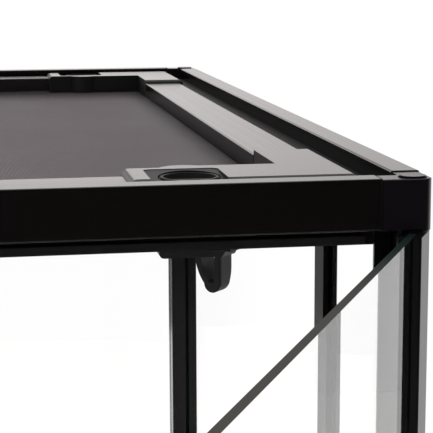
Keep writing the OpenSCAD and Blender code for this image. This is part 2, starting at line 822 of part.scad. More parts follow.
block_top = bar_foot + mesh_t + 0.6; // depth of the top of the lock block
spindle_end = 24;
hook_top = rail + 0.5;               // the hook passes just under the rails

// Dished knob with a low grip across it, and the spindle below.
module lock_knob(sx, sy) {
    dish_r = knob_r - 1.6;
    dish_d = 3.2;
    color(plastic_black) at_corner(sx, sy) translate([-lock_x, lock_y, tank_h]) {
        difference() {
            translate([0, 0, -knob_well + 0.2]) {
                cylinder(r = knob_r, h = knob_well - knob_drop - 0.6, $fn = 64);
                cylinder(r = knob_r - 0.4, h = knob_well - knob_drop - 0.2, $fn = 64);
            }
            translate([0, 0, -knob_drop - dish_d]) cylinder(r = dish_r, h = dish_d + 1, $fn = 64);
        }
        span([-dish_r + 0.2, -1.5, -knob_drop - dish_d - eps], [dish_r - 0.2, 1.5, -knob_drop - 1.2]);
        translate([0, 0, -spindle_end]) cylinder(r = spindle_r, h = spindle_end - knob_well + 0.3);
    }
}

// Side view of the hook: a closed loop, curved on one side and straight on the other, with a flared root.
module hook_outline() {
    curve_r = 20.8;
    curve_c = [9, 0.3 - block_foot];
    tip_r = 3.7;
    slit_r = 1.5;
    tip_t = 4;
    slit_h = tip_t + slit_r - hook_foot;
    reach = 14;
    root_u = 5;
    difference() {
        union() {
            intersection() {
                translate(curve_c) circle(curve_r, $fn = 96);
                area([-reach, -hook_foot + tip_r], [0, slit_r - block_foot]);
            }
            translate([-tip_r, -hook_foot + tip_r]) circle(tip_r);
            area([-2 * root_u, slit_r - block_foot], [root_u, -hook_top]);
            polygon([[0, -block_foot - 1], [1, -block_foot - 1], [root_u, -block_foot + root_u], [0, -block_foot + root_u]]);
        }
        intersection() {
            translate(curve_c) circle(curve_r - hook_t, $fn = 96);
            area([-reach, slit_h], [-hook_t, slit_r - block_foot - hook_t]);
        }
        translate([-hook_t - slit_r, slit_h]) circle(slit_r);
    }
}

// The hook is narrower towards its tip, and round along the edges of its straight side.
module hook() {
    taper_r = 34;
    intersection() {
        translate([0, hook_w, 0]) rotate([90, 0, 0]) linear_extrude(hook_w) hook_outline();
        translate([-hook_foot, 0, 0]) rotate([90, 0, 90]) linear_extrude(2 * hook_foot) intersection() {
            area([0, -hook_foot], [hook_w, -hook_top]);
            union() {
                area([0, -block_foot], [hook_w, -hook_top]);
                translate([hook_w - taper_r, -block_foot]) circle(taper_r, $fn = 128);
            }
        }
        union() {
            translate([0, 0, -hook_foot]) linear_extrude(hook_foot - block_foot - 1)
                soft_area([-2 * hook_w, 0], [0, hook_w], hook_t / 2);
            translate([0, 0, -block_foot - 1 - eps]) linear_extrude(block_foot) area([-2 * hook_w, 0], [hook_w, hook_w]);
        }
    }
}

// Lock block under the cover, with the hook that turns in under the front or rear rail.
module lock_hook(sx, sy) {
    block_r = 2;
    thumb_r = 3.2;
    color(plastic_black) at_corner(sx, sy) translate([-lock_x, lock_y, tank_h]) difference() {
        union() {
            translate([0, block_w / 2, 0]) rotate([90, 0, 0]) linear_extrude(block_w) difference() {
                soft_area([-block_l / 2, -block_foot], [block_l / 2, -block_top], block_r);
                for (s = [-1, 1]) translate([s * block_l / 2, -hook_top]) circle(thumb_r);
            }
            translate([lock_x - hook_x, hook_y - lock_y, 0]) rotate([0, 0, -hook_turn]) hook();
        }
        translate([0, 0, -spindle_end - seam]) cylinder(r = spindle_r + fixed_gap, h = spindle_end);
    }
}

// ---------------------------------------------------------------- assembly

placed() top_rail_front();
placed() top_rail_rear();
placed() top_rail_side(-1);  // top_rail_left
placed() top_rail_side(1);  // top_rail_right
placed() bottom_rail_x(-1);  // bottom_rail_front
placed() bottom_rail_x(1);  // bottom_rail_rear
placed() bottom_rail_side(-1);  // bottom_rail_left
placed() bottom_rail_side(1);  // bottom_rail_right
placed() post_front(-1);  // post_front_left
placed() post_front(1);  // post_front_right
placed() post_rear(-1);  // post_rear_left
placed() post_rear(1);  // post_rear_right
placed() top_corner(-1, -1);  // top_corner_front_left
placed() top_corner(1, -1);  // top_corner_front_right
placed() top_corner(-1, 1);  // top_corner_rear_left
placed() top_corner(1, 1);  // top_corner_rear_right
placed() bottom_corners();
placed() corner_plugs();
placed() corner_screws();
placed() feet();
placed() floor_glass();
placed() rear_glass();
placed() side_glass(-1, glass_end, mullion_at - mullion_web / 2 - 2 * glass_gap);  // left_glass_front
placed() side_glass(-1, mullion_at + mullion_web / 2 + 2 * glass_gap, tank_d - glass_end);  // left_glass_rear
placed() side_glass(1, glass_end, mullion_at - mullion_web / 2 - 2 * glass_gap);  // right_glass_front
placed() side_glass(1, mullion_at + mullion_web / 2 + 2 * glass_gap, tank_d - glass_end);  // right_glass_rear
placed() mullion(-1);  // left_mullion
placed() mullion(1);  // right_mullion
placed() lower_front_glass();
placed() vent_rail();
placed() door_stop_seals();
placed() door_pivot_pins();
placed() door_glass(-1, 0);  // left_door_glass
placed() door_stile(-1, 0);  // left_door_stile
placed() door_strip(-1, 0);  // left_door_strip
placed() door_handle(-1, 0);  // left_door_handle
placed() door_glass(1, door_open);  // right_door_glass
placed() door_stile(1, door_open);  // right_door_stile
placed() door_strip(1, door_open);  // right_door_strip
placed() door_handle(1, door_open);  // right_door_handle
placed() cover_bar_x(-1);  // cover_bar_front
placed() cover_bar_x(1);  // cover_bar_rear
placed() cover_bar_side(-1);  // cover_bar_left
placed() cover_bar_side(1);  // cover_bar_right
placed() cover_corner(-1, -1);  // cover_corner_front_left
placed() cover_corner(1, -1);  // cover_corner_front_right
placed() cover_corner(-1, 1);  // cover_corner_rear_left
placed() cover_corner(1, 1);  // cover_corner_rear_right
placed() cover_screen();
placed() screen_spline();
placed() lock_knob(-1, -1);  // lock_knob_front_left
placed() lock_knob(1, -1);  // lock_knob_front_right
placed() lock_knob(-1, 1);  // lock_knob_rear_left
placed() lock_knob(1, 1);  // lock_knob_rear_right
placed() lock_hook(-1, -1);  // lock_hook_front_left
placed() lock_hook(1, -1);  // lock_hook_front_right
placed() lock_hook(-1, 1);  // lock_hook_rear_left
placed() lock_hook(1, 1);  // lock_hook_rear_right
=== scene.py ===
"""Dresses the reptile terrarium.

Every part gets its finish, the plain screen sheet becomes crossing wires, and a plain
studio with a camera stands round the object.
"""

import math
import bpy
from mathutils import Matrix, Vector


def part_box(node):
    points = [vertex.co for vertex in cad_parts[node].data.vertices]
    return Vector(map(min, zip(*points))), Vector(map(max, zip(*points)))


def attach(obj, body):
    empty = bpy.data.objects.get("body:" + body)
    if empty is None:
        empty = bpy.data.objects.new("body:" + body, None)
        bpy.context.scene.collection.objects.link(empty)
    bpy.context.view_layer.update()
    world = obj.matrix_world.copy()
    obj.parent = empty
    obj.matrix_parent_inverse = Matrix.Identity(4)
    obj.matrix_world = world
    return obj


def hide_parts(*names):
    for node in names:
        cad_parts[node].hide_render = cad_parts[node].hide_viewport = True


bl_info = {
    "name": "Reptile terrarium",
    "version": (1, 0, 0),
    "blender": (4, 5, 0),
    "location": "3D View > Sidebar > Terrarium",
    "description": "Finishes, wire screen and studio for a front-opening terrarium",
    "category": "Object",
}

import bpy
from bpy.props import FloatProperty, FloatVectorProperty, PointerProperty
from mathutils import Matrix, Vector

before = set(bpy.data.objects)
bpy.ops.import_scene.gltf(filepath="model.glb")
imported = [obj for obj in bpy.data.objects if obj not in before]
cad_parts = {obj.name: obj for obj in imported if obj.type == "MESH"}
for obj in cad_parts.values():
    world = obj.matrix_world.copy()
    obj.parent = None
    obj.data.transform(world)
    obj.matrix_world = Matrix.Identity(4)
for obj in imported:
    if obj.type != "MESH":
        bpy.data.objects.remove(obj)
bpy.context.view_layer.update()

MM = 0.001

# The outer front right corner of the frame at its top.
TOP_CORNER = Vector(
    (
        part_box("top_rail_right")[1].x,
        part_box("top_rail_front")[0].y,
        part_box("top_rail_front")[1].z,
    )
)
FOOTPRINT = (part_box("feet")[0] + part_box("feet")[1]) / 2
DOOR_ANGLE = math.radians(63)  # how far the right door stands open

# The camera: its place from the top corner, the way it points and its lens in mm.
CAMERA_PLACE = Vector((-175.05, -535.68, 81.30)) * MM
CAMERA_TURN = math.radians(-9.610)
CAMERA_TILT = math.radians(90 - 9.774)
CAMERA_ROLL = math.radians(-0.192)
CAMERA_LENS = 123.5
SENSOR_WIDTH = 36.0

# The lamps: their places from the middle of the feet, and their widths, in metres.
TOP_LIGHT = ((0.1, 0.3, 2.3), 1.8)
FILL_LIGHT = ((-1.6, -2.0, 1.7), 1.2)
LIGHTS_AIM = Vector((FOOTPRINT.x, FOOTPRINT.y, 0.3))

NOISE = (0.3, 0.7)  # what most of the noise lies between
SMOOTH = {"interpolation_type": "SMOOTHSTEP"}
WIRE_SIDES = 6
WIRE_SMOOTHING = math.radians(70)


def linear(hex_colour, alpha=1.0):
    """A six-digit sRGB hex colour as linear red, green and blue, and alpha."""
    parts = [int(hex_colour[i : i + 2], 16) / 255 for i in (0, 2, 4)]
    return tuple(
        c / 12.92 if c <= 0.04045 else ((c + 0.055) / 1.055) ** 2.4 for c in parts
    ) + (alpha,)


def lighter(colour, times):
    """A linear colour, so many times as bright."""
    return tuple(part * times for part in colour[:3]) + (1.0,)


def fill(tree, node, inputs):
    """Fills a node's inputs, by name from a dict or else in order.

    Each takes a value, or a link from the output that feeds it.
    """
    if isinstance(inputs, dict):
        pairs = [(node.inputs[name], value) for name, value in inputs.items()]
    else:
        pairs = zip([socket for socket in node.inputs if socket.enabled], inputs)
    for socket, value in pairs:
        if isinstance(value, bpy.types.NodeSocket):
            tree.links.new(value, socket)
        else:
            socket.default_value = value


def add_node(tree, kind, inputs=(), **settings):
    """Adds a node with its settings and links, and gives the first output it has."""
    node = tree.nodes.new("ShaderNode" + kind)
    for name, value in settings.items():
        setattr(node, name, value)
    fill(tree, node, inputs)
    return next((output for output in node.outputs if output.enabled), None)


def new_material(name):
    """A new material, its node tree and the Principled shader in it."""
    material = bpy.data.materials.new(name)
    material.use_nodes = True
    tree = material.node_tree
    return material, tree, tree.nodes["Principled BSDF"]


def speckle(tree, spacing, detail=2.0):
    """Noise whose spots are about as far apart as spacing, along X, Y and Z."""
    where = add_node(tree, "TexCoord").node.outputs["Object"]
    scale = tuple(1 / distance for distance in spacing)
    scaled = add_node(tree, "Mapping", {"Vector": where, "Scale": scale})
    noise = {"Vector": scaled, "Scale": 1.0, "Detail": detail}
    return add_node(tree, "TexNoise", noise)


def streaks(axis, length, width):
    """The spacing of noise that is drawn out along an axis, or even without one."""
    spacing = [width] * 3
    if axis is not None:
        spacing[axis] = length
    return spacing


def dress(material, *names):
    """Gives CAD nodes their material."""
    for name in names:
        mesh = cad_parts[name].data
        mesh.materials.clear()
        mesh.materials.append(material)


def named(*starts):
    """The CAD nodes whose names start so."""
    return [name for name in sorted(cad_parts) if name.startswith(starts)]


# ------------------------------------------------------------------ materials


def anodised_aluminium(axis, colour):
    """Black anodised aluminium, extruded: satin, with faint lines along the extrusion.

    The oxide layer hardly shines head on and mirrors strongly at a glancing angle. The
    lower ledge of a top rail and the sawn ends of the rails are duller.
    """
    material, tree, shader = new_material("black_anodised_aluminium_" + "xyz"[axis])
    lines = speckle(tree, streaks(axis, 400 * MM, 0.5 * MM))
    cloud = speckle(tree, [90 * MM] * 3, 3.0)
    base = add_node(
        tree, "Mix", (cloud, colour, lighter(colour, 1.5)), data_type="RGBA"
    )
    where = add_node(tree, "TexCoord").node.outputs
    place = add_node(tree, "SeparateXYZ", (where["Object"],)).node.outputs
    upward = add_node(tree, "SeparateXYZ", (where["Normal"],)).node.outputs[2]
    # The ledge is what faces up and lies at least 3 to 4 mm below the top.
    top = TOP_CORNER.z
    lower = add_node(
        tree, "MapRange", (place[2], top - 4 * MM, top - 3 * MM, 1.0, 0.0), **SMOOTH
    )
    ledge = add_node(tree, "MapRange", (upward, 0.7, 0.9, 0.0, lower), **SMOOTH)
    roughness = add_node(tree, "MapRange", (lines, *NOISE, 0.17, 0.23))
    roughness = add_node(tree, "Mix", (ledge, roughness, 0.5))
    if axis < 2:
        # The sawn ends are the last half millimetre of a rail's length.
        low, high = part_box(("top_rail_front", "top_rail_right")[axis])
        middle = (low[axis] + high[axis]) / 2
        end = high[axis] - middle
        away = add_node(tree, "Math", (place[axis], middle), operation="SUBTRACT")
        away = add_node(tree, "Math", (away,), operation="ABSOLUTE")
        ends = (away, end - 0.6 * MM, end - 0.4 * MM, roughness, 0.8)
        roughness = add_node(tree, "MapRange", ends, **SMOOTH)
    bump = add_node(tree, "Bump", {"Height": lines, "Distance": 0.001 * MM})
    fill(
        tree,
        shader,
        {
            "Base Color": base,
            "IOR": 1.5,
            "Specular IOR Level": 0.5,
            "Roughness": roughness,
            "Normal": bump,
        },
    )
    return material


def moulded_nylon(finish, gloss):
    """Glass-filled nylon, moulded: black, with a trace of flow marks.

    The corner pieces are glossy and the plugs in them are duller.
    """
    material, tree, shader = new_material(finish + "_black_moulded_nylon")
    flow = speckle(tree, [20 * MM] * 3, 3.0)
    grit = speckle(tree, [0.5 * MM] * 3)
    base = add_node(
        tree, "Mix", (flow, linear("120e12"), linear("18141a")), data_type="RGBA"
    )
    roughness = add_node(tree, "MapRange", (grit, *NOISE, 0.2, 0.26))
    bump = add_node(tree, "Bump", {"Height": grit, "Distance": 0.002 * MM})
    fill(
        tree,
        shader,
        {
            "Base Color": base,
            "IOR": 1.52,
            "Specular IOR Level": gloss,
            "Roughness": roughness,
            "Normal": bump,
        },
    )
    return material


def satin_abs(colour, axis=None):
    """ABS, satin black: extruded bars with soft lines, moulded corners with fine grain.

    The top face of a corner is smoother than its sides and the sunk pad in it.
    """
    direction = "" if axis is None else "_" + "xyz"[axis]
    material, tree, shader = new_material("black_satin_abs" + direction)
    grain = speckle(tree, streaks(axis, 300 * MM, 1.2 * MM))
    cloud = speckle(tree, [50 * MM] * 3, 3.0)
    base = add_node(
        tree, "Mix", (cloud, colour, lighter(colour, 1.5)), data_type="RGBA"
    )
    roughness = add_node(tree, "MapRange", (grain, *NOISE, 0.19, 0.21))
    if axis is None:
        where = add_node(tree, "TexCoord").node.outputs["Object"]
        height = add_node(tree, "SeparateXYZ", (where,)).node.outputs[2]
        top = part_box("cover_corner_front_right")[1].z
        sunk = (height, top - 0.3 * MM, top - 0.1 * MM, 0.42, roughness)
        roughness = add_node(tree, "MapRange", sunk, **SMOOTH)
    bump = add_node(tree, "Bump", {"Height": grain, "Distance": 0.0005 * MM})
    fill(
        tree,
        shader,
        {
            "Base Color": base,
            "IOR": 1.54,
            "Specular IOR Level": 0.5,
            "Roughness": roughness,
            "Normal": bump,
        },
    )
    return material


def acetal():
    """Acetal, moulded: the slippery black plastic of knobs and hooks, softly shiny."""
    material, tree, shader = new_material("black_acetal")
    flow = speckle(tree, [6 * MM] * 3, 3.0)
    grain = speckle(tree, [0.4 * MM] * 3)
    base = add_node(
        tree, "Mix", (flow, linear("2a2829"), linear("343233")), data_type="RGBA"
    )
    roughness = add_node(tree, "MapRange", (flow, *NOISE, 0.42, 0.48))
    bump = add_node(tree, "Bump", {"Height": grain, "Distance": 0.001 * MM})
    fill(
        tree,
        shader,
        {
            "Base Color": base,
            "IOR": 1.48,
            "Specular IOR Level": 0.25,
            "Roughness": roughness,
            "Normal": bump,
        },
    )
    return material


def rigid_pvc(finish, gloss):
    """Rigid PVC, extruded: glossy black stiles and handles, and dull black mullions."""
    material, tree, shader = new_material(finish + "_black_rigid_pvc")
    lines = speckle(tree, streaks(2, 300 * MM, 0.6 * MM))
    base = add_node(
        tree, "Mix", (lines, linear("0b0a0c"), linear("100e10")), data_type="RGBA"
    )
    roughness = add_node(tree, "MapRange", (lines, *NOISE, 0.26, 0.34))
    bump = add_node(tree, "Bump", {"Height": lines, "Distance": 0.002 * MM})
    fill(
        tree,
        shader,
        {
            "Base Color": base,
            "IOR": 1.53,
            "Specular IOR Level": gloss,
            "Roughness": roughness,
            "Normal": bump,
        },
    )
    return material


def epdm_rubber():
    """EPDM rubber, extruded or moulded: matt and dark grey-black, finely pitted."""
    material, tree, shader = new_material("black_epdm_rubber")
    pits = speckle(tree, [0.9 * MM] * 3, 4.0)
    base = add_node(
        tree, "Mix", (pits, linear("141414"), linear("1e1e1e")), data_type="RGBA"
    )
    roughness = add_node(tree, "MapRange", (pits, *NOISE, 0.6, 0.8))
    bump = add_node(tree, "Bump", {"Height": pits, "Distance": 0.04 * MM})
    fill(
        tree,
        shader,
        {
            "Base Color": base,
            "IOR": 1.5,
            "Specular IOR Level": 0.3,
            "Roughness": roughness,
            "Normal": bump,
        },
    )
    return material


def zinc_plated_steel():
    """Steel, turned and zinc plated: bright bluish grey with fine turning marks."""
    material, tree, shader = new_material("zinc_plated_steel")
    marks = speckle(tree, streaks(2, 0.3 * MM, 4 * MM))
    base = add_node(
        tree, "Mix", (marks, linear("a9adb4"), linear("c9ccd2")), data_type="RGBA"
    )
    roughness = add_node(tree, "MapRange", (marks, *NOISE, 0.22, 0.36))
    bump = add_node(tree, "Bump", {"Height": marks, "Distance": 0.01 * MM})
    fill(
        tree,
        shader,
        {"Base Color": base, "Metallic": 1.0, "Roughness": roughness, "Normal": bump},
    )
    return material


def coated_wire(colour):
    """Steel wire under a dark epoxy coat: a soft sheen along each round wire.

    The screen is painted darker towards its left, right and rear borders: painted shade
    where the bars shut out light and reflections.
    """
    material, tree, shader = new_material("black_epoxy_coated_wire")
    cloud = speckle(tree, [60 * MM] * 3, 3.0)
    coat = add_node(
        tree, "Mix", (cloud, colour, lighter(colour, 1.16)), data_type="RGBA"
    )
    low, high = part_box("cover_screen")
    # Painted shade: near the left, right and rear borders the coat colour fades to the
    # dark 2c2829.
    side_shade_width = 22 * MM
    rear_shade_width = 90 * MM
    where = add_node(tree, "TexCoord").node.outputs["Object"]
    x, y, _ = add_node(tree, "SeparateXYZ", (where,)).node.outputs
    left = (x, low.x, low.x + side_shade_width, 0.0, 1.0)
    inside = add_node(tree, "MapRange", left, **SMOOTH)
    right = (x, high.x - side_shade_width, high.x, inside, 0.0)
    inside = add_node(tree, "MapRange", right, **SMOOTH)
    rear = (y, high.y - rear_shade_width, high.y, inside, 0.0)
    inside = add_node(tree, "MapRange", rear, **SMOOTH)
    base = add_node(tree, "Mix", (inside, linear("2c2829"), coat), data_type="RGBA")
    roughness = add_node(tree, "MapRange", (cloud, *NOISE, 0.36, 0.44))
    fill(
        tree,
        shader,
        {
            "Base Color": base,
            "IOR": 1.5,
            "Specular IOR Level": 0.5,
            "Roughness": roughness,
        },
    )
    return material


def float_glass(name, facing, edge_colour, ior, hinge=None):
    """Clear float glass, 3 mm: colourless faces, and ground edges that look dark teal.

    facing is the direction that the pane's faces look in; what faces another way is an
    edge. Away from the hinge, if one is given, the edge is painted grey: painted light,
    where the edge would gather more light.
    Rays from the lamps go straight through, so that the inside isn't darkened.
    """
    material, tree, shader = new_material("clear_float_glass_" + name)
    where = add_node(tree, "TexCoord").node.outputs
    along = add_node(
        tree, "VectorMath", (where["Normal"], facing), operation="DOT_PRODUCT"
    )
    size = add_node(tree, "Math", (along,), operation="ABSOLUTE")
    edge = add_node(tree, "Math", (size, 0.5), operation="LESS_THAN")
    grind = speckle(tree, [1.2 * MM] * 3, 3.0)
    ground = add_node(
        tree,
        "Mix",
        (grind, edge_colour, lighter(edge_colour, 1.6)),
        data_type="RGBA",
    )
    if hinge is not None:
        away = add_node(
            tree, "VectorMath", (where["Object"], hinge), operation="DISTANCE"
        )
        # Painted light: away from the hinge the ground edge turns grey, as it would
        # where more light reaches it.
        lit = add_node(tree, "MapRange", (away, 40 * MM, 130 * MM, 0.0, 1.0), **SMOOTH)
        grey = linear("4a4a47")
        ground = add_node(tree, "Mix", (lit, ground, grey), data_type="RGBA")
    colour = add_node(tree, "Mix", (edge, linear("ffffff"), ground), data_type="RGBA")
    fill(
        tree,
        shader,
        {
            "Base Color": colour,
            "IOR": ior,
            "Roughness": add_node(tree, "Mix", (edge, 0.0, 0.5)),
            "Transmission Weight": add_node(tree, "Mix", (edge, 1.0, 0.0)),
        },
    )
    clear = add_node(tree, "BsdfTransparent", (linear("ffffff"),))
    shadow = add_node(tree, "LightPath").node.outputs["Is Shadow Ray"]
    both = add_node(tree, "MixShader", (shadow, shader.outputs[0], clear))
    fill(tree, tree.nodes["Material Output"], {"Surface": both})
    return material


# ------------------------------------------------------------------ properties


class TerrariumSizes(bpy.types.PropertyGroup):
    """Sizes of what is added to the solids."""

    wire_pitch: FloatProperty(
        name="Wire spacing",
        description="From one wire of the screen to the next",
        default=0.6 * MM,
        min=0.5 * MM,
        max=4 * MM,
        precision=5,
        unit="LENGTH",
    )
    wire_diameter: FloatProperty(
        name="Wire diameter",
        description="Thickness of one wire of the screen",
        default=0.17 * MM,
        min=0.1 * MM,
        max=0.3 * MM,
        precision=5,
        unit="LENGTH",
    )
    floor_radius: FloatProperty(
        name="Floor radius",
        description="Radius of the round studio floor",
        default=1.9,
        min=1.0,
        max=10.0,
        unit="LENGTH",
    )


class TerrariumColours(bpy.types.PropertyGroup):
    """Colours and light that a user might change."""

    frame_colour: FloatVectorProperty(
        name="Frame",
        description="Colour of the extruded rails and posts",
        default=linear("0b0807"),
        size=4,
        min=0.0,
        max=1.0,
        subtype="COLOR",
    )
    cover_colour: FloatVectorProperty(
        name="Cover",
        description="Colour of the cover's bars and corner pieces",
        default=linear("100e0e"),
        size=4,
        min=0.0,
        max=1.0,
        subtype="COLOR",
    )
    screen_colour: FloatVectorProperty(
        name="Screen",
        description="Colour of the coat on the screen's wires",
        default=linear("797276"),
        size=4,
        min=0.0,
        max=1.0,
        subtype="COLOR",
    )
    edge_colour: FloatVectorProperty(
        name="Glass edge",
        description="Colour of the ground edges of the glass",
        default=linear("1a2826"),
        size=4,
        min=0.0,
        max=1.0,
        subtype="COLOR",
    )
    floor_colour: FloatVectorProperty(
        name="Floor",
        description="Colour of the studio floor",
        default=linear("f2f2f2"),
        size=4,
        min=0.0,
        max=1.0,
        subtype="COLOR",
    )
    top_light: FloatProperty(
        name="Top light",
        description="Power of the soft light over the terrarium",
        default=12.0,
        min=0.0,
        max=200.0,
        unit="POWER",
    )
    fill_light: FloatProperty(
        name="Fill light",
        description="Power of the soft light in front, on the left",
        default=5.0,
        min=0.0,
        max=200.0,
        unit="POWER",
    )


# ------------------------------------------------------------------ operators


class TerrariumStage(bpy.types.Operator):
    """Sets the camera, the white studio, the soft lights and the floor"""

    bl_idname = "terrarium.stage"
    bl_label = "Studio and camera"

    def execute(self, context):
        scene = context.scene
        scene.view_settings.view_transform = "Standard"
        self.camera(scene)
        self.world(scene)
        self.floor(scene)
        colours = scene.terrarium_colours
        self.soft_light(scene, "top_light", *TOP_LIGHT, colours.top_light)
        self.soft_light(scene, "fill_light", *FILL_LIGHT, colours.fill_light)
        return {"FINISHED"}

    def camera(self, scene):
        """A long lens, close to the front right corner of the cover."""
        data = bpy.data.cameras.new("camera")
        data.sensor_width = SENSOR_WIDTH
        data.lens = CAMERA_LENS
        data.clip_start = 0.02
        data.clip_end = 60.0
        camera = bpy.data.objects.new("camera", data)
        scene.collection.objects.link(camera)
        turn = (
            Matrix.Rotation(CAMERA_TURN, 3, "Z")
            @ Matrix.Rotation(CAMERA_TILT, 3, "X")
            @ Matrix.Rotation(CAMERA_ROLL, 3, "Z")
        )
        camera.location = TOP_CORNER + CAMERA_PLACE
        camera.rotation_euler = turn.to_euler()
        scene.camera = camera

    def world(self, scene):
        """White behind the object and dim on the doors' side.

        That makes the tops shine and keeps the fronts black. x, y and z are how far a
        ray points to the right, to the back and up. A level of 1 is white.
        """
        wall_left, wall_right, ceiling, dim = 1.32, 1.02, 0.32, 0.03
        mirrored_twice, on_colours = 0.12, 0.55
        world = bpy.data.worlds.new("studio")
        scene.world = world
        world.use_nodes = True
        tree = world.node_tree
        tree.nodes.clear()
        path = add_node(tree, "LightPath").node.outputs
        towards = add_node(tree, "TexCoord").node.outputs["Generated"]
        x, y, z = add_node(tree, "SeparateXYZ", (towards,)).node.outputs
        # The wall stands behind, from the floor up to the dimmer ceiling.
        across = (x, 0.05, 0.3, wall_left, wall_right)
        side = add_node(tree, "MapRange", across, **SMOOTH)
        wall = add_node(tree, "MapRange", (z, 0.2, 0.32, side, ceiling), **SMOOTH)
        # Below the wall only the far left and right are white, with a dim band between.
        left = add_node(tree, "MapRange", (x, -0.2, -0.16, 1.0, dim), **SMOOTH)
        right = add_node(tree, "MapRange", (x, 0.2, 0.4, dim, 1.0), **SMOOTH)
        below = add_node(tree, "Math", (left, right), operation="MAXIMUM")
        above = add_node(tree, "MapRange", (z, -0.1, 0.0, 0.0, 1.0), **SMOOTH)
        wall = add_node(tree, "Mix", (above, below, wall))
        # It fades to the dim side that the doors face.
        back = add_node(tree, "MapRange", (y, -0.1, 0.5, 0.0, 1.0), **SMOOTH)
        studio = add_node(tree, "Mix", (back, dim, wall))
        bounces = (path["Glossy Depth"], 1.0, 2.0, 0.0, 1.0)
        again = add_node(tree, "MapRange", bounces, **SMOOTH)
        studio = add_node(tree, "Mix", (again, studio, mirrored_twice))
        level = add_node(tree, "Mix", (path["Is Diffuse Ray"], studio, on_colours))
        seen, _ = self.views(tree, path)
        level = add_node(tree, "Mix", (seen, level, 1.0))
        under = add_node(tree, "MapRange", (z, -0.1, 0.0, 1.0, 0.0), **SMOOTH)
        plain = add_node(tree, "Math", (seen, under), operation="MAXIMUM")
        tint = add_node(
            tree, "Mix", (plain, linear("fffaf9"), linear("ffffff")), data_type="RGBA"
        )
        light = add_node(tree, "Background", (tint, level))
        add_node(tree, "OutputWorld", (light,))

    def views(self, tree, path):
        """Whether a ray comes straight from the eye or through glass alone, and whether
        it was mirrored.

        What a black face mirrors stays as dim as the studio is there, also where it
        comes through a pane.
        """
        mirrored = add_node(
            tree, "Math", (path["Glossy Depth"], 0.5), operation="GREATER_THAN"
        )
        through = add_node(
            tree, "Math", (path["Is Transmission Ray"], mirrored), operation="SUBTRACT"
        )
        seen = add_node(
            tree, "Math", (path["Is Camera Ray"], through), operation="MAXIMUM"
        )
        return seen, mirrored

    def floor(self, scene):
        """A round floor just under the feet, white to the eye, with their shadow."""
        bpy.ops.object.select_all(action="DESELECT")
        bpy.ops.mesh.primitive_circle_add(
            vertices=128,
            radius=scene.terrarium_sizes.floor_radius,
            fill_type="NGON",
            location=(FOOTPRINT.x, FOOTPRINT.y, -0.2 * MM),
        )
        floor = bpy.context.object
        floor.name = "studio_floor"
        material, tree, shader = new_material("pale_studio_floor")
        fill(
            tree,
            shader,
            {
                "Base Color": linear("bdbdbd"),
                "Roughness": 0.9,
                "Specular IOR Level": 0.1,
            },
        )
        path = add_node(tree, "LightPath").node.outputs
        seen, mirrored = self.views(tree, path)
        seen_strength, mirrored_strength = 0.77, 0.8
        strength = add_node(
            tree, "Mix", (mirrored, seen_strength, mirrored_strength)
        )
        colour = scene.terrarium_colours.floor_colour
        glow = add_node(tree, "Emission", (colour, strength))
        # In reflections the floor is dim on the doors' side, as the studio is.
        where = add_node(tree, "TexCoord").node.outputs["Object"]
        depth = add_node(tree, "SeparateXYZ", (where,)).node.outputs[1]
        behind = add_node(tree, "MapRange", (depth, -0.4, 0.5, 0.04, 1.0), **SMOOTH)
        mirrored = add_node(tree, "Math", (mirrored, behind), operation="MULTIPLY")
        seen = add_node(tree, "Math", (seen, mirrored), operation="MAXIMUM")
        dark = add_node(tree, "Emission", {"Strength": 0.0})
        light = add_node(tree, "MixShader", (seen, dark, glow))
        both = add_node(tree, "AddShader", (shader.outputs[0], light))
        fill(tree, tree.nodes["Material Output"], {"Surface": both})
        material.cycles.emission_sampling = "NONE"
        floor.data.materials.append(material)

    def soft_light(self, scene, name, place, size, power):
        """A square lamp that points at the middle of the terrarium."""
        data = bpy.data.lights.new(name, "AREA")
        data.energy = power
        data.size = size
        light = bpy.data.objects.new(name, data)
        scene.collection.objects.link(light)
        light.location = Vector(place) + Vector((FOOTPRINT.x, FOOTPRINT.y, 0))
        aim = LIGHTS_AIM - light.location
        light.rotation_euler = aim.to_track_quat("-Z", "Y").to_euler()


class TerrariumFrame(bpy.types.Operator):
    """Finishes the rails, posts and ventilation rail as black anodised extrusions"""

    bl_idname = "terrarium.frame"
    bl_label = "Rails and posts"

    def execute(self, context):
        colour = tuple(context.scene.terrarium_colours.frame_colour)
        along_x, along_y, along_z = [anodised_aluminium(a, colour) for a in range(3)]
        for height in ("top", "bottom"):
            dress(along_x, f"{height}_rail_front", f"{height}_rail_rear")
            dress(along_y, f"{height}_rail_left", f"{height}_rail_right")
        dress(along_x, "vent_rail")
        dress(along_z, *named("post_"))
        return {"FINISHED"}


class TerrariumCorners(bpy.types.Operator):
    """Finishes the three-way corner pieces and their plugs as moulded nylon"""

    bl_idname = "terrarium.corners"
    bl_label = "Corner pieces"

    def execute(self, context):
        dress(moulded_nylon("glossy", 0.3), *named("top_corner", "bottom_corners"))
        dress(moulded_nylon("dull", 0.2), "corner_plugs")
        return {"FINISHED"}


class TerrariumGlass(bpy.types.Operator):
    """Finishes the fixed panes and the doors' panes as clear glass with ground edges"""

    bl_idname = "terrarium.glass"
    bl_label = "Glass"

    def execute(self, context):
        edge = tuple(context.scene.terrarium_colours.edge_colour)
        side = named("left_glass", "right_glass")
        front = ["rear_glass", "lower_front_glass", "left_door_glass"]
        # The nearer a pane's index of refraction is to 1, the less it mirrors.
        dress(float_glass("side", (1, 0, 0), edge, 1.01), *side)
        dress(float_glass("front", (0, 1, 0), edge, 1.2), *front)
        dress(float_glass("floor", (0, 0, 1), edge, 1.5), "floor_glass")
        facing = (math.sin(DOOR_ANGLE), -math.cos(DOOR_ANGLE), 0.0)
        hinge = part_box("right_door_stile")[1]
        open_door = float_glass("open_door", facing, edge, 1.17, hinge)
        dress(open_door, "right_door_glass")
        return {"FINISHED"}


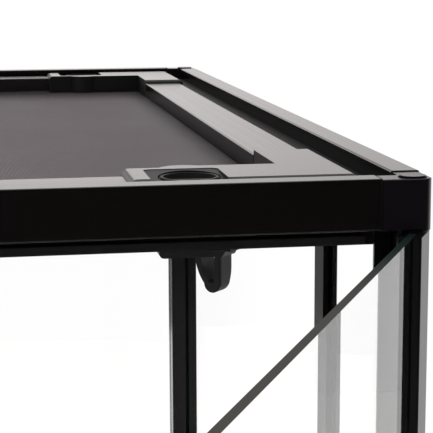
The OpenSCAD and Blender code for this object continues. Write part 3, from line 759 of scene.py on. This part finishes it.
class TerrariumDoors(bpy.types.Operator):
    """Finishes the door stiles, handles and mullions as rigid PVC"""

    bl_idname = "terrarium.doors"
    bl_label = "Door trim"

    def execute(self, context):
        trim = [f"{s}_door_{p}" for s in ("left", "right") for p in ("stile", "handle")]
        dress(rigid_pvc("glossy", 0.25), *trim)
        dress(rigid_pvc("dull", 0.02), "left_mullion", "right_mullion")
        return {"FINISHED"}


class TerrariumCover(bpy.types.Operator):
    """Finishes the bars and corner pieces of the lift-off cover as satin ABS"""

    bl_idname = "terrarium.cover"
    bl_label = "Cover"

    def execute(self, context):
        colour = tuple(context.scene.terrarium_colours.cover_colour)
        dress(satin_abs(colour, 0), "cover_bar_front", "cover_bar_rear")
        dress(satin_abs(colour, 1), "cover_bar_left", "cover_bar_right")
        dress(satin_abs(colour), *named("cover_corner"))
        return {"FINISHED"}


class TerrariumScreen(bpy.types.Operator):
    """Builds the screen of crossing wires in place of the plain sheet"""

    bl_idname = "terrarium.screen"
    bl_label = "Wire screen"

    def execute(self, context):
        sizes = context.scene.terrarium_sizes
        low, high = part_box("cover_screen")
        radius = sizes.wire_diameter / 2
        across = self.wires(sizes, low, high, 0, low.z + radius)
        along = self.wires(sizes, low, high, 1, high.z - radius)
        bpy.ops.object.select_all(action="DESELECT")
        across.select_set(True)
        along.select_set(True)
        context.view_layer.objects.active = across
        bpy.ops.object.join()
        across.name = "screen_wires"
        bpy.ops.object.shade_smooth_by_angle(angle=WIRE_SMOOTHING)
        colour = tuple(context.scene.terrarium_colours.screen_colour)
        across.data.materials.append(coated_wire(colour))
        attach(across, "screen_cover")
        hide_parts("cover_screen")
        return {"FINISHED"}

    def wires(self, sizes, low, high, axis, height):
        """A row of straight round wires that run along an axis, 0 for X and 1 for Y."""
        radius = sizes.wire_diameter / 2
        other = 1 - axis
        start = (low + high) / 2
        start.z = height
        start[other] = low[other] + radius
        quarter = math.pi / 2
        bpy.ops.object.select_all(action="DESELECT")
        bpy.ops.mesh.primitive_cylinder_add(
            vertices=WIRE_SIDES,
            radius=radius,
            depth=high[axis] - low[axis],
            location=start,
            rotation=(0, quarter, 0) if axis == 0 else (quarter, 0, 0),
        )
        wire = bpy.context.object
        bpy.ops.object.transform_apply(location=True, rotation=True, scale=True)
        row = wire.modifiers.new("row", "ARRAY")
        row.use_relative_offset = False
        row.use_constant_offset = True
        width = high[other] - low[other] - 2 * radius
        row.count = round(width / sizes.wire_pitch) + 1
        step = [0.0, 0.0, 0.0]
        step[other] = width / (row.count - 1)
        row.constant_offset_displace = step
        bpy.ops.object.modifier_apply(modifier="row")
        return wire


class TerrariumLocks(bpy.types.Operator):
    """Finishes the turning knobs and their hooks as acetal"""

    bl_idname = "terrarium.locks"
    bl_label = "Cover locks"

    def execute(self, context):
        dress(acetal(), *named("lock_"))
        return {"FINISHED"}


class TerrariumSmallParts(bpy.types.Operator):
    """Finishes the rubber feet, seals and strips and the plated screws and pins"""

    bl_idname = "terrarium.small_parts"
    bl_label = "Rubber and steel parts"

    def execute(self, context):
        rubber = ["feet", "door_stop_seals", "screen_spline"]
        rubber += ["left_door_strip", "right_door_strip"]
        dress(epdm_rubber(), *rubber)
        dress(zinc_plated_steel(), "corner_screws", "door_pivot_pins")
        return {"FINISHED"}


OPERATORS = (
    TerrariumStage,
    TerrariumFrame,
    TerrariumCorners,
    TerrariumGlass,
    TerrariumDoors,
    TerrariumCover,
    TerrariumScreen,
    TerrariumLocks,
    TerrariumSmallParts,
)


class TerrariumPanel(bpy.types.Panel):
    """Lists the steps and the settings"""

    bl_idname = "VIEW3D_PT_terrarium"
    bl_label = "Reptile terrarium"
    bl_space_type = "VIEW_3D"
    bl_region_type = "UI"
    bl_category = "Terrarium"

    def draw(self, context):
        for operator in OPERATORS:
            self.layout.operator(operator.bl_idname)
        for group in (context.scene.terrarium_sizes, context.scene.terrarium_colours):
            for name in group.__annotations__:
                self.layout.prop(group, name)


CLASSES = (TerrariumSizes, TerrariumColours, *OPERATORS, TerrariumPanel)


def register():
    for cls in CLASSES:
        bpy.utils.register_class(cls)
    bpy.types.Scene.terrarium_sizes = PointerProperty(type=TerrariumSizes)
    bpy.types.Scene.terrarium_colours = PointerProperty(type=TerrariumColours)


def unregister():
    del bpy.types.Scene.terrarium_colours
    del bpy.types.Scene.terrarium_sizes
    for cls in reversed(CLASSES):
        bpy.utils.unregister_class(cls)


def main():
    """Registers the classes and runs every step."""
    register()
    for operator in OPERATORS:
        group, name = operator.bl_idname.split(".")
        getattr(getattr(bpy.ops, group), name)()


if __name__ == "__main__":
    main()
